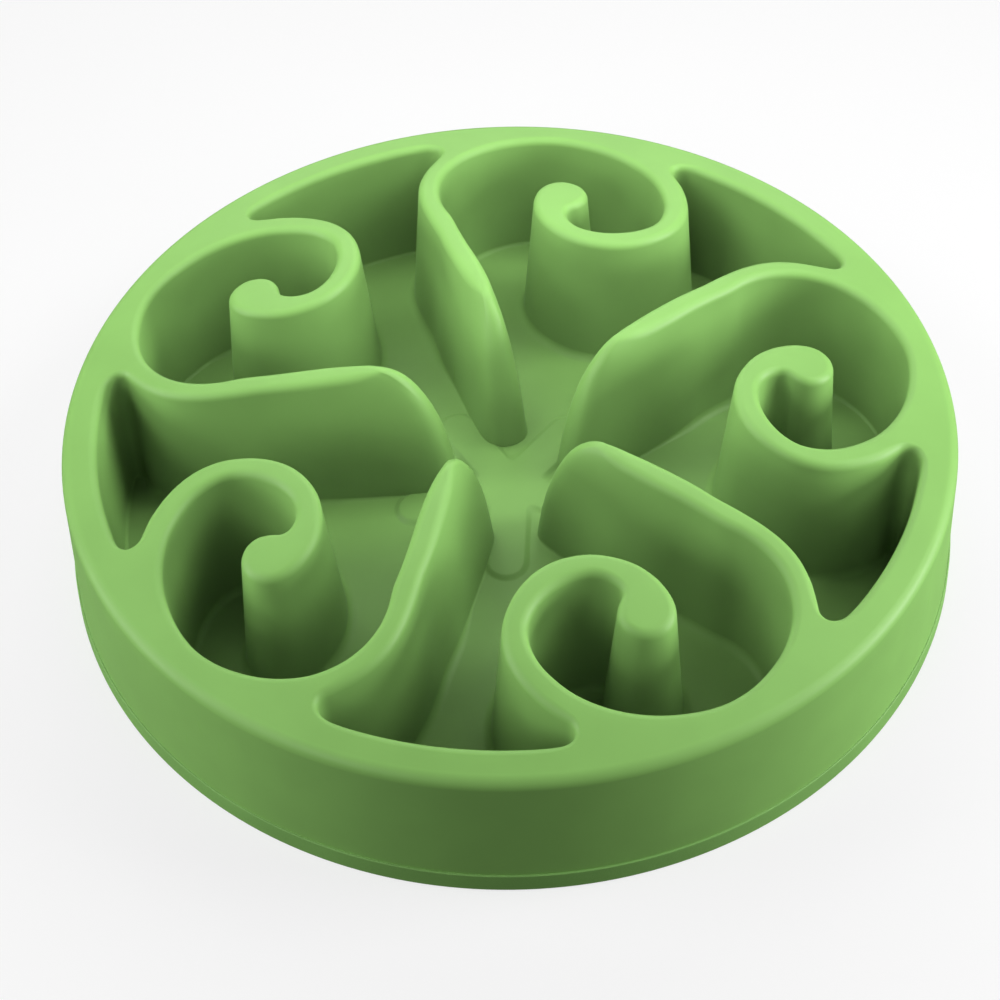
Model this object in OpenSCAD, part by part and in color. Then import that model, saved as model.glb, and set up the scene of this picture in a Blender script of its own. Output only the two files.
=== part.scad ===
// A slow feeder bowl: a round hollow moulding with a domed top, open below. Five like
// swirls stand in it. Each has a long wall that runs in from the rim to a sloping nose, a
// round pocket, and a hook that curls back round a bulb. The food lies on a low domed floor
// between them. A soft ring round the foot of the outer wall keeps the bowl from sliding.
// The origin is the middle of the footprint, on the table.

/* [Bowl] */
// Radius of the rim, at the outer edge of its top
rim_radius = 140; // [110:1:180]
// Height of the top surface at the rim
rim_height = 49; // [42:1:60]
// Rise of the domed top from the rim to the middle
top_rise = 15; // [6:1:24]
// Width of the flat band between the rim's edge and the wells
rim_band = 10.6; // [9:0.2:14]
// Rounding of the rim's outer edge
rim_round = 4; // [2:0.2:5]
// How far the outer wall stands out at its foot
skirt_flare = 2.8; // [1:0.2:6]
// Wall thickness of the moulding
wall = 2.5; // [1.8:0.1:3]

/* [Swirls] */
// Rounding of the walls' top edges
edge_round = 2.8; // [1.6:0.2:3.2]
// Lean of the walls from the vertical, in degrees
wall_lean = 4.5; // [3:0.5:6]
// How far the walls' feet spread in their last stretch
foot_spread = 2.6; // [1:0.2:3.4]
// Radius of the open middle of the floor, between the noses' feet
middle_radius = 15.5; // [13:0.5:20]
// How far the noses' sides swell below their narrow tops
nose_swell = 3; // [0:0.2:4]

/* [Floor] */
// Height of the floor in the middle
floor_height = 12.3; // [11:0.1:16]
// Fall of the domed floor from the middle to the rim's radius
floor_fall = 9.8; // [4:0.2:10.6]
// Distance from the middle to the tips of the raised star
star_reach = 38; // [24:1:46]
// Width of the star's arms
star_arm = 13; // [6:0.5:16]
// Height of the star above the floor
star_rise = 1; // [0.6:0.1:1.6]

/* [Non-slip ring] */
// Height of the ring's outer lip
ring_height = 6.7; // [4.5:0.1:9]
// How far the ring stands out from the outer wall
ring_proud = 0.6; // [0.2:0.1:1.2]
// Thickness of the ring's two lips
ring_lip = 1.5; // [1.3:0.1:2.5]
// Height of the ring's inner lip
ring_inner_height = 4.4; // [3:0.1:6]
// Thickness of the ring's sole, under the outer wall
ring_sole = 1.5; // [1:0.1:2.4]

/* [Hidden] */

bowl_green = "#8cc869";
ring_green = "#84c05f";

swirls = 5;
sector = 360/swirls;
sector_start = 44.5;
// How far cuts run past what they cut
overrun = 1;
overrun_angle = 0.3;
well_radius = rim_radius - rim_band;
seam_radius = rim_radius - rim_band/2;
hub_radius = well_radius/14;

// The top and the floor are caps of large balls
function ball(rise, radius) = (radius*radius + rise*rise)/(2*rise);
function cap_at(apex, ball_radius, radius) =
    apex - ball_radius + sqrt(ball_radius*ball_radius - radius*radius);
top_apex = rim_height + top_rise;
top_ball = ball(top_rise, rim_radius);
floor_ball = ball(floor_fall, rim_radius);
function top_at(radius) = cap_at(top_apex, top_ball, radius);
function floor_at(radius) = cap_at(floor_height, floor_ball, radius);

function turned(p, angle) =
    [p.x*cos(angle) - p.y*sin(angle), p.x*sin(angle) + p.y*cos(angle)];
function polar(radius, angle) = turned([radius, 0], angle);

// The top edge of the low ground in one sector, in shares of the well radius. It starts on
// the rim's arc at the left, and goes down the long wall, round its nose and up again, round
// the pocket, along the hook and its bulb, and back to the rim's arc at the right.
left_arc_angles = [117, 112, 107.5];
left_corner_shares = [[-0.233, 0.972], [-0.188, 0.977], [-0.158, 0.965], [-0.149, 0.939]];
wall_down_shares = [
    [-0.165, 0.905], [-0.189, 0.858], [-0.205, 0.806], [-0.208, 0.752], [-0.199, 0.693],
    [-0.180, 0.630], [-0.160, 0.574], [-0.142, 0.514], [-0.119, 0.452], [-0.094, 0.392],
    [-0.071, 0.342]];
nose_shares = [
    [-0.055, 0.312], [-0.051, 0.303], [-0.045, 0.299], [-0.040, 0.304], [-0.039, 0.313]];
wall_up_shares = [
    [-0.041, 0.348], [-0.052, 0.394], [-0.071, 0.455], [-0.094, 0.519], [-0.113, 0.576],
    [-0.131, 0.634], [-0.152, 0.684]];
pocket_shares = [
    [-0.163, 0.736], [-0.161, 0.795], [-0.141, 0.855], [-0.100, 0.912], [-0.039, 0.956],
    [0.032, 0.983], [0.108, 0.994], [0.184, 0.985], [0.260, 0.953], [0.327, 0.907],
    [0.381, 0.848], [0.419, 0.779], [0.435, 0.703], [0.430, 0.639]];
hook_inner_shares = [
    [0.403, 0.585], [0.357, 0.554], [0.303, 0.541], [0.249, 0.544], [0.203, 0.563],
    [0.176, 0.594], [0.168, 0.628]];
bulb_shares = [
    [0.176, 0.652], [0.200, 0.668], [0.220, 0.690], [0.225, 0.719], [0.213, 0.749],
    [0.188, 0.768], [0.158, 0.774], [0.127, 0.762], [0.106, 0.736]];
hook_outer_shares = [
    [0.095, 0.698], [0.095, 0.655], [0.107, 0.609], [0.134, 0.565], [0.173, 0.526],
    [0.223, 0.500], [0.276, 0.489], [0.330, 0.494], [0.384, 0.515], [0.435, 0.552],
    [0.469, 0.601], [0.485, 0.655], [0.487, 0.709], [0.481, 0.758], [0.470, 0.797]];
right_corner_shares = [[0.463, 0.828], [0.474, 0.853], [0.500, 0.859], [0.532, 0.846]];
right_arc_angles = [54.5, 50, 45];

before_nose_shares = concat(
    [for (a = left_arc_angles) polar(1, a)], left_corner_shares, wall_down_shares);
guide = well_radius*concat(
    before_nose_shares, nose_shares, wall_up_shares, pocket_shares, hook_inner_shares,
    bulb_shares, hook_outer_shares, right_corner_shares,
    [for (a = right_arc_angles) polar(1, a)]);

// A smooth curve through the guide points, and the distance run along it
curve_steps = 6;
function eased(a, b, c, d, t) =
    b + t*(c - a)/2 + t*t*(2*a - 5*b + 4*c - d)/2 + t*t*t*(3*b - a - 3*c + d)/2;
looped = concat(
    [turned(guide[len(guide) - 2], sector)], guide, [turned(guide[1], -sector)]);
curve = concat(
    [for (i = [1 : len(looped) - 3]) for (k = [0 : curve_steps - 1])
        eased(looped[i - 1], looped[i], looped[i + 1], looped[i + 2], k/curve_steps)],
    [guide[len(guide) - 1]]);
run = [for (
    i = 0, s = 0;
    i < len(curve);
    s = s + (i + 1 < len(curve) ? norm(curve[i + 1] - curve[i]) : 0), i = i + 1
) s];
curve_length = run[len(run) - 1];
run_to_x = [for (i = [0 : len(run) - 1]) [run[i], curve[i].x]];
run_to_y = [for (i = [0 : len(run) - 1]) [run[i], curve[i].y]];
// The point at a distance along the curve, which goes on into the sectors on either side
function spot(s) =
    s < 0 ? turned(spot(s + curve_length), sector) :
    s > curve_length ? turned(spot(s - curve_length), -sector) :
    [lookup(s, run_to_x), lookup(s, run_to_y)];

// The way from the edge to the low ground. In inner corners it is averaged over a stretch
// that is longer than the walls' spread, so that their feet stay smooth as they close in.
corner_window = 1.3*(tan(wall_lean)*(top_apex - floor_height) + foot_spread);
edge_window = well_radius*0.007;
function across(s, window) =
    let (chord = spot(s + window) - spot(s - window)) [chord.y, -chord.x]/(2*window);
function closes_in(s) =
    cross(spot(s + corner_window) - spot(s), spot(s) - spot(s - corner_window)) > 0;
function low_side(s) = across(s, closes_in(s) ? corner_window : edge_window);

// One point of each outline a guide point, and one past each end of the sector
last = len(guide) - 1;
stations = concat(
    [run[(last - 1)*curve_steps] - curve_length],
    [for (i = [0 : last]) run[i*curve_steps]],
    [curve_length + run[curve_steps]]);
edge = [for (s = stations) spot(s)];
outward = [for (s = stations) low_side(s)];

// How much each point belongs to the nose, from 0 to 1
nose_tip = len(before_nose_shares) + floor(len(nose_shares)/2) + 1;
nose_top_length = well_radius*0.018;
nose_side_length = well_radius*0.06;
function near_nose(i) =
    let (away = abs(stations[i] - stations[nose_tip]) - nose_top_length)
    min(1, max(0, 1 - away/nose_side_length));
nose = [for (i = [0 : len(stations) - 1]) near_nose(i)];
nose_way = polar(1, -71);

// How much each point's wall swells, which fades out along the walls behind the nose
nose_flank_length = well_radius*0.27;
function near_flank(i) =
    let (
        away = abs(stations[i] - stations[nose_tip]) - nose_top_length,
        t = min(1, max(0, away/nose_flank_length))
    )
    1 - t*t*(3 - 2*t);
flank = [for (i = [0 : len(stations) - 1]) near_flank(i)];

// The walls' feet spread less at the rim and at the noses than halfway
spread_shares = [
    [0.31, 1], [0.39, 0.8], [0.5, 1.1], [0.75, 1.1], [0.9, 0.95], [0.985, 0.5]];
function spread(i) = lookup(norm(edge[i])/well_radius, spread_shares);
// The narrow nose has a smaller rounding than the walls
function rounding(i) = edge_round*(1 - 0.6*nose[i]);

// How much of its slope a nose has done at a share of the height: it starts steep at the
// floor, and rounds over to the top
function nose_profile(h) = 0.22*h + 0.78*(1 - pow(1 - pow(min(1, h), 2.15), 1/2.15));

// One point of a wall. The angle goes round the top edge from 0 to 90 degrees, down is the
// share of the wall's height that lies above it, foot is its share of the foot's spread,
// and inset is its distance behind the wall's face.
function wall_depth(i, radius) = top_at(radius) - floor_at(radius) - rounding(i);
function wall_height(i, radius, angle, down) =
    top_at(radius) - rounding(i)*(1 - cos(angle)) - down*wall_depth(i, radius);
function wall_out(i, angle, down, foot, inset) =
    rounding(i)*(sin(angle) - sin(45)) - inset
    + spread(i)*(tan(wall_lean)*down*wall_depth(i, norm(edge[i]))
        + foot*foot_spread*(1 - 0.7*flank[i]))
    + nose_swell*flank[i]*(1 - pow(min(1, height_share(i, angle, down)), 4.2));
function height_share(i, angle, down) =
    let (radius = norm(edge[i]))
    (wall_height(i, radius, angle, down) - floor_at(radius))/(top_at(radius) - floor_at(radius));
// The nose's edge stands at this share of its slope, and its foot at the open middle
nose_edge_share = 0.88;
nose_reach = (norm(edge[nose_tip]) - middle_radius)/nose_edge_share;
function nose_shift(i, angle, down) =
    nose_reach*(nose_edge_share - nose_profile(height_share(i, angle, down)));
function wall_spot(i, angle, down, foot, inset) =
    let (out = wall_out(i, angle, down, foot, inset))
    edge[i] + out*outward[i] + nose[i]*(nose_shift(i, angle, down) - out)*nose_way;
function lifted(p, i, angle, down, lift) =
    [p.x, p.y, wall_height(i, norm(p), angle, down) + lift];
function flattened(points, z) = [for (p = points) [p.x, p.y, z]];

// A ring of points at one level of the wells' walls in a sector
function wall_ring(angle, down, foot, lift) =
    [for (i = [0 : len(stations) - 1])
        lifted(wall_spot(i, angle, down, foot, 0), i, angle, down, lift)];
// The levels of the walls, from the top edge to the floor
edge_lift = edge_round/30;
upper_rings = [
    wall_ring(0, 0, 0, edge_lift), wall_ring(45, 0, 0, 0), wall_ring(90, 0, 0, 0),
    wall_ring(90, 0.14, 0, 0), wall_ring(90, 0.32, 0, 0), wall_ring(90, 0.6, 0, 0)];
foot_rings = [wall_ring(90, 0.95, 0, 0), wall_ring(90, 1, 1, -wall/2)];

// The hollow below the walls ends short of the narrow nose, in a point that follows it
inner_before = [for (i = [0 : nose_tip]) if (nose[i] == 0) i];
inner_after = [for (i = [nose_tip : len(stations) - 1]) if (nose[i] == 0) i];
function inner_spot(i, angle, down) = wall_spot(i, angle, down, 0, wall);
function inner_nose(angle, down) =
    let (
        left = inner_before[len(inner_before) - 1],
        right = inner_after[0],
        root = (inner_spot(left, angle, down) + inner_spot(right, angle, down))/2,
        back = (edge[nose_tip] - (edge[left] + edge[right])/2)*nose_way
    )
    root + nose_way*max(wall/2, back + nose_shift(nose_tip, angle, down) - 2*wall);
function inner_point(p, angle, down) = lifted(p, 0, angle, down, 0);
function inner_ring(angle, down) = concat(
    [for (i = inner_before) inner_point(inner_spot(i, angle, down), angle, down)],
    [inner_point(inner_nose(angle, down), angle, down)],
    [for (i = inner_after) inner_point(inner_spot(i, angle, down), angle, down)]);
inner_rings = [inner_ring(90, 0), inner_ring(90, 0.3), inner_ring(90, 0.65), inner_ring(90, 1)];

// A solid through a stack of rings, from the highest to the lowest, with flat ends
module loft(rings) {
    size = len(rings[0]);
    sides = [
        for (level = [0 : len(rings) - 2]) for (i = [0 : size - 1])
            let (j = (i + 1)%size, top = level*size, low = top + size)
            each [[top + i, low + i, low + j], [top + i, low + j, top + j]]];
    highest = [for (i = [0 : size - 1]) i];
    lowest = [for (i = [size - 1 : -1 : 0]) (len(rings) - 1)*size + i];
    polyhedron([for (ring = rings) each ring], concat([highest], sides, [lowest]), 20);
}

// The rings with flat ends above the top and below the table
function capped(rings) = concat(
    [flattened(rings[0], top_apex + overrun)], rings,
    [flattened(rings[len(rings) - 1], -overrun)]);
// A sector's rings are closed by a point on the far side of the middle
function closed(rings) =
    let (hub = polar(-2*hub_radius, sector_start + sector/2))
    [for (ring = rings) concat(ring, [[hub.x, hub.y, ring[0].z]])];

// The low ground of one sector, and the same with the walls' thickness round it
module low_ground() {
    loft(closed(capped(concat(upper_rings, foot_rings))));
}
module low_ground_with_walls() {
    loft(closed(capped(inner_rings)));
}

// The low ground of all sectors near the floor
module floor_ground() {
    rings = [for (ring = foot_rings)
        [for (k = [0 : swirls - 1]) for (i = [1 : last])
            let (p = turned(ring[i], -k*sector)) [p.x, p.y, ring[i].z]]];
    loft(capped(rings));
}

// Half the section of a cap between two radii, filled down to a height
module cap_section(apex, ball_radius, inner, outer, low) {
    intersection() {
        translate([inner, low]) square([outer - inner, apex - low + overrun]);
        translate([0, apex - ball_radius]) circle(ball_radius, $fn = 1440);
    }
}
// Half the section of the shell that the floor is part of
module floor_section(inner, outer, rise, depth) {
    difference() {
        cap_section(floor_height + rise, floor_ball + rise, inner, outer, -overrun);
        cap_section(floor_height - depth, floor_ball - depth, inner - overrun,
            outer + overrun, -2*overrun);
    }
}
module part_turn(start, angle) {
    rotate(start) rotate_extrude(angle = angle, $fn = 180) children();
}

// The solid sector that a swirl is cut from, and the space below its top
module sector_block() {
    part_turn(sector_start, sector) difference() {
        cap_section(top_apex, top_ball, hub_radius, seam_radius, -overrun);
        cap_section(floor_height - wall, floor_ball - wall, 0, seam_radius + overrun,
            -2*overrun);
    }
}
module space_below_top() {
    part_turn(sector_start - overrun_angle, sector + 2*overrun_angle)
        cap_section(top_apex - wall, top_ball - wall, hub_radius/2, seam_radius + overrun,
            -2*overrun);
}

module swirl(number) {
    color(bowl_green) rotate(-(number - 1)*sector) difference() {
        sector_block();
        low_ground();
        difference() {
            space_below_top();
            low_ground_with_walls();
        }
    }
}

// The outer wall leans out evenly, from the rim's rounding to its foot
skirt_top = rim_height - rim_round;
function skirt_at(z) = rim_radius + skirt_flare*(skirt_top - z)/skirt_top;
rim_centre_radius = rim_radius - rim_round;
rim_centre_height = top_at(rim_radius - rim_round) - rim_round;
rim_steps = 6;
band_steps = 3;
function band_at(step) =
    seam_radius + (rim_centre_radius - seam_radius)*step/band_steps;
// The section of the rim's band and the outer wall, which steps in behind the ring's lip
module outer_wall() {
    outer = concat(
        [for (i = [0 : band_steps]) [band_at(i), top_at(band_at(i))]],
        [for (i = [1 : rim_steps])
            [rim_centre_radius, rim_centre_height] + polar(rim_round, 90 - i*90/rim_steps)],
        [[skirt_at(ring_height), ring_height],
         [skirt_at(ring_height) - ring_lip + ring_proud, ring_height],
         [skirt_at(ring_sole) - ring_lip + ring_proud, ring_sole]]);
    inner = [
        [skirt_at(ring_sole) - wall, ring_sole],
        [skirt_at(rim_height - 2*wall) - wall, rim_height - 2*wall],
        [rim_radius - 2*wall, top_at(rim_radius - 2*wall) - wall],
        [seam_radius, top_at(seam_radius) - wall]];
    color(bowl_green) rotate_extrude($fn = 180) polygon(concat(outer, inner));
}

// The floor between the walls' feet
module feeding_floor() {
    color(bowl_green) intersection() {
        part_turn(0, 360) floor_section(0, well_radius, 0, wall);
        floor_ground();
    }
}

// A plain star with round ends, raised on the floor, with an arm to each channel
star_turn = 50;
module floor_star() {
    color(bowl_green) intersection() {
        part_turn(0, 360) floor_section(0, star_reach + overrun, star_rise, 0);
        linear_extrude(top_apex) for (k = [0 : swirls - 1]) rotate(star_turn - k*sector) {
            translate([0, -star_arm/2]) square([star_reach - star_arm/2, star_arm]);
            translate([star_reach - star_arm/2, 0]) circle(d = star_arm, $fn = 48);
        }
    }
}

// The ring is a channel that the foot of the outer wall stands in
module non_slip_ring() {
    foot_radius = skirt_at(ring_sole);
    inner_radius = foot_radius - wall - ring_lip;
    section = [
        [inner_radius, 0],
        [skirt_at(0) + ring_proud, 0],
        [skirt_at(ring_height) + ring_proud, ring_height],
        [skirt_at(ring_height) - ring_lip + ring_proud, ring_height],
        [foot_radius - ring_lip + ring_proud, ring_sole],
        [foot_radius - wall, ring_sole],
        [skirt_at(ring_inner_height) - wall, ring_inner_height],
        [inner_radius, ring_inner_height]];
    color(ring_green) rotate_extrude($fn = 180) polygon(section);
}

outer_wall();
swirl(1);  // swirl_1
swirl(2);  // swirl_2
swirl(3);  // swirl_3
swirl(4);  // swirl_4
swirl(5);  // swirl_5
feeding_floor();
floor_star();
non_slip_ring();
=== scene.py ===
"""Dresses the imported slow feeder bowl: the moulding with its soft edges and fillets, the
raised star on its floor, the rubber base ring, their materials, and a plain pale stage."""

import math

import bmesh
import bpy
import numpy as np
from bpy.props import FloatProperty, FloatVectorProperty, PointerProperty
from mathutils import Matrix, Vector


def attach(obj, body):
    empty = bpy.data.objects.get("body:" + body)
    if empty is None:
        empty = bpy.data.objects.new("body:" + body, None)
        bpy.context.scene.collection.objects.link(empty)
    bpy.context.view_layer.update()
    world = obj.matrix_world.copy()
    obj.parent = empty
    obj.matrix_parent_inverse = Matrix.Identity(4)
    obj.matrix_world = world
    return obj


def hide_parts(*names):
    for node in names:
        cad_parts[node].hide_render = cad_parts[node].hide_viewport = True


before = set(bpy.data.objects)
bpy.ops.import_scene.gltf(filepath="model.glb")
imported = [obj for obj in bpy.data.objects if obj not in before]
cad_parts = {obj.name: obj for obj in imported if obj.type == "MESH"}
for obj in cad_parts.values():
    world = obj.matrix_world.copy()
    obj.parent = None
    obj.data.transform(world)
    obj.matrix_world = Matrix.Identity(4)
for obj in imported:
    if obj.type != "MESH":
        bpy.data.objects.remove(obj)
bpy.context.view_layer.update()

bl_info = {
    "name": "Slow feeder bowl",
    "version": (1, 0, 0),
    "blender": (4, 5, 0),
    "location": "View3D > Sidebar > Feeder bowl",
    "description": "Builds the moulding, the raised star, the base ring and the stage",
    "category": "Object",
}

MM = 0.001
SWIRLS = 5
SECTOR = 360 / SWIRLS       # degrees


# Sizes and colours


def length(name, description, default):
    """A length that the sidebar shows in the scene's units."""
    return FloatProperty(
        name=name, description=description, default=default, min=0, unit="LENGTH", precision=4)


def colour(name, description, default):
    """A linear colour with a colour field in the sidebar."""
    return FloatVectorProperty(
        name=name, description=description, default=default, size=3, min=0, max=1,
        subtype="COLOR")


class BowlSizes(bpy.types.PropertyGroup):
    """Sizes of the moulding."""

    rim_radius: length("Rim radius", "Radius of the rim at its outer edge", 140 * MM)
    rim_height: length("Rim height", "Height of the top surface at the rim", 49 * MM)
    top_rise: length("Top rise", "Rise of the domed top from rim to middle", 15 * MM)
    rim_band: length("Rim band", "Width of the band between rim and wells", 10.6 * MM)
    rim_round: length("Rim round", "Rounding of the rim's outer edge", 4 * MM)
    skirt_flare: length("Skirt flare", "How far the outer wall leans out", 2.8 * MM)
    wall: length("Wall", "Thickness of the moulding", 2.5 * MM)
    edge_round: length("Edge round", "Rounding of the walls' top edges", 2.8 * MM)
    wall_lean: FloatProperty(
        name="Wall lean", description="Lean of the walls from the vertical",
        default=math.radians(4.5), subtype="ANGLE")
    foot_spread: length("Foot spread", "How far the walls' feet spread", 2.6 * MM)
    middle_radius: length("Middle radius", "Open middle between the noses", 15.5 * MM)
    nose_swell: length("Nose swell", "How far the noses' sides swell", 3 * MM)
    floor_height: length("Floor height", "Height of the floor in the middle", 12.3 * MM)
    floor_fall: length("Floor fall", "Fall of the floor out to the rim", 9.8 * MM)


class StarSizes(bpy.types.PropertyGroup):
    """Sizes of the raised star on the floor."""

    reach: length("Reach", "From the middle to the tips", 38 * MM)
    arm: length("Arm", "Width of the arms", 13 * MM)
    rise: length("Rise", "Height above the floor", 1 * MM)
    soft_edge: length("Soft edge", "Width of the star's soft edge", 2.4 * MM)


class RingSizes(bpy.types.PropertyGroup):
    """Sizes of the rubber base ring."""

    height: length("Height", "Height of the outer lip", 6.7 * MM)
    proud: length("Proud", "How far the lip stands out", 0.6 * MM)
    lip: length("Lip", "Thickness of the lips", 1.5 * MM)
    inner_height: length("Inner height", "Height of the inner lip", 4.4 * MM)
    sole: length("Sole", "Thickness under the outer wall", 1.5 * MM)
    soft_edge: length("Soft edge", "Rounding of the lips", 0.3 * MM)


class Finishes(bpy.types.PropertyGroup):
    """Colours of the two materials and of the stage."""

    plastic: colour("Plastic", "The moulding's green", (0.285, 0.58, 0.143))
    plastic_gloss: FloatProperty(
        name="Roughness", description="Roughness of the satin plastic", default=0.46,
        min=0, max=1, subtype="FACTOR")
    rubber: colour("Rubber", "The base ring's green", (0.25, 0.53, 0.13))
    stage_floor: colour("Floor", "The stage's pale floor", (0.9, 0.9, 0.9))


def on_edge(angle, inset):
    """One point in shares of the well radius, at an angle in degrees on the rim's arc."""
    return (inset * math.cos(math.radians(angle)), inset * math.sin(math.radians(angle)))


# The top edge of the low ground in one sector, in shares of the well radius. It starts on the
# rim's arc at the left, and goes down the long wall, round its nose and up again, round the
# pocket, along the hook and its bulb, and back to the rim's arc at the right.
LEFT_ARC = [on_edge(a, 1) for a in (117, 112, 107.5)]
LEFT_CORNER = [(-0.233, 0.972), (-0.188, 0.977), (-0.158, 0.965), (-0.149, 0.939)]
WALL_DOWN = [
    (-0.165, 0.905), (-0.189, 0.858), (-0.205, 0.806), (-0.208, 0.752), (-0.199, 0.693),
    (-0.180, 0.630), (-0.160, 0.574), (-0.142, 0.514), (-0.119, 0.452), (-0.094, 0.392),
    (-0.071, 0.342)]
NOSE = [(-0.055, 0.312), (-0.051, 0.303), (-0.045, 0.299), (-0.040, 0.304), (-0.039, 0.313)]
WALL_UP = [
    (-0.041, 0.348), (-0.052, 0.394), (-0.071, 0.455), (-0.094, 0.519), (-0.113, 0.576),
    (-0.131, 0.634), (-0.152, 0.684)]
POCKET = [
    (-0.163, 0.736), (-0.161, 0.795), (-0.141, 0.855), (-0.100, 0.912), (-0.039, 0.956),
    (0.032, 0.983), (0.108, 0.994), (0.184, 0.985), (0.260, 0.953), (0.327, 0.907),
    (0.381, 0.848), (0.419, 0.779), (0.435, 0.703), (0.430, 0.639)]
HOOK_INNER = [
    (0.403, 0.585), (0.357, 0.554), (0.303, 0.541), (0.249, 0.544), (0.203, 0.563),
    (0.176, 0.594), (0.168, 0.628)]
BULB = [
    (0.176, 0.652), (0.200, 0.668), (0.220, 0.690), (0.225, 0.719), (0.213, 0.749),
    (0.188, 0.768), (0.158, 0.774), (0.127, 0.762), (0.106, 0.736)]
HOOK_OUTER = [
    (0.095, 0.698), (0.095, 0.655), (0.107, 0.609), (0.134, 0.565), (0.173, 0.526),
    (0.223, 0.500), (0.276, 0.489), (0.330, 0.494), (0.384, 0.515), (0.435, 0.552),
    (0.469, 0.601), (0.485, 0.655), (0.487, 0.709), (0.481, 0.758), (0.470, 0.797)]
RIGHT_CORNER = [(0.463, 0.828), (0.474, 0.853), (0.500, 0.859), (0.532, 0.846)]
RIGHT_ARC = [on_edge(a, 1) for a in (54.5, 50, 45)]
BEFORE_NOSE = LEFT_ARC + LEFT_CORNER + WALL_DOWN
OUTLINE = (
    BEFORE_NOSE + NOSE + WALL_UP + POCKET + HOOK_INNER + BULB + HOOK_OUTER + RIGHT_CORNER
    + RIGHT_ARC)

CURVE_STEPS = 24            # steps of the smooth curve between two guide points
STATION_STEPS = 6           # curve steps between two stations of a wall
HOLLOW_STEP = 2             # stations between two points of the hollow behind a wall
RIM_SEGMENTS = 240

# The noses. Distances along the edge from a nose's tip are in shares of the well radius.
NOSE_WAY = on_edge(-71, 1)  # the way in which the first nose slopes down
NOSE_FRONT = 0.018          # half the front, which slopes as one
NOSE_FADE = 0.06            # how far beyond it the slope fades out
NOSE_STRAIGHT = 0.22        # the straight share of the slope
NOSE_POWER = 2.15           # how full the rounded rest is
NOSE_AT_EDGE = 0.88         # the share of the slope that lies beyond the guide points
NOSE_ROUND_LESS = 0.6       # how much less the top edge is rounded at the tip
FLANK_END = 0.288           # where the sides stop swelling
FLANK_FOOT_LESS = 0.7       # how much less the foot spreads along the flanks
SWELL_POWER = 4.2           # how soon below the deck the swell is full
SOFT_NOSE = (0.09, 0.14)    # from where to where the smoothing of the corners fades
SOFT_TOP = 0.3              # the share of the height over which it begins

# The walls' directions, with lengths in shares of the well radius
NEAR_NOSE = 0.12            # up to here the direction follows the edge closely
NEAR_WINDOW, FAR_WINDOW = 0.008, 0.022
CALM_FROM_TO = (0.1, 0.16)  # from where to where the smoothing of directions begins
BELL_WIDTH = 0.014
HOLLOW_WINDOW = 1.3         # in widths of a wall's slope, where the edge turns inwards
HOLLOW_TURN = (0.02, 0.35)  # the turn, as a sine, at which that window begins and is full
# How much the walls lean and spread at each distance from the middle
SPREAD_AT = (0.31, 0.39, 0.5, 0.75, 0.9, 0.985)
SPREAD = (1, 0.8, 1.1, 1.1, 0.95, 0.5)


# The bowl's surfaces


def turned(points, degrees):
    """Points turned about the bowl's axis."""
    a = math.radians(degrees)
    x, y = points[..., 0], points[..., 1]
    return np.stack(
        [x * math.cos(a) - y * math.sin(a), x * math.sin(a) + y * math.cos(a)], -1)


def smooth_step(low, high, values):
    """0 below low, 1 above high, and an even S between them."""
    t = np.clip((values - low) / (high - low), 0, 1)
    return t * t * (3 - 2 * t)


class Cap:
    """A dome: the top of a large ball, given by its apex and the ball's radius."""

    def __init__(self, apex, ball):
        self.apex, self.ball = apex, ball

    @classmethod
    def falling(cls, apex, fall, radius):
        """The dome that falls so far from its apex out to a radius."""
        return cls(apex, (radius * radius + fall * fall) / (2 * fall))

    def at(self, radius):
        """The dome's height at a distance from the bowl's axis."""
        return self.apex - self.ball + np.sqrt(self.ball**2 - np.square(radius))

    def deeper(self, depth):
        """The dome that lies evenly below this one."""
        return Cap(self.apex - depth, self.ball - depth)


def top_dome(sizes):
    """The dome of the deck and of the walls' top edges."""
    return Cap.falling(sizes.rim_height + sizes.top_rise, sizes.top_rise, sizes.rim_radius)


def floor_dome(sizes):
    """The low dome of the floor."""
    return Cap.falling(sizes.floor_height, sizes.floor_fall, sizes.rim_radius)


def skirt_radius(sizes, z):
    """Radius of the outer wall's outside at a height."""
    skirt_top = sizes.rim_height - sizes.rim_round
    return sizes.rim_radius + sizes.skirt_flare * (skirt_top - z) / skirt_top


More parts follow.
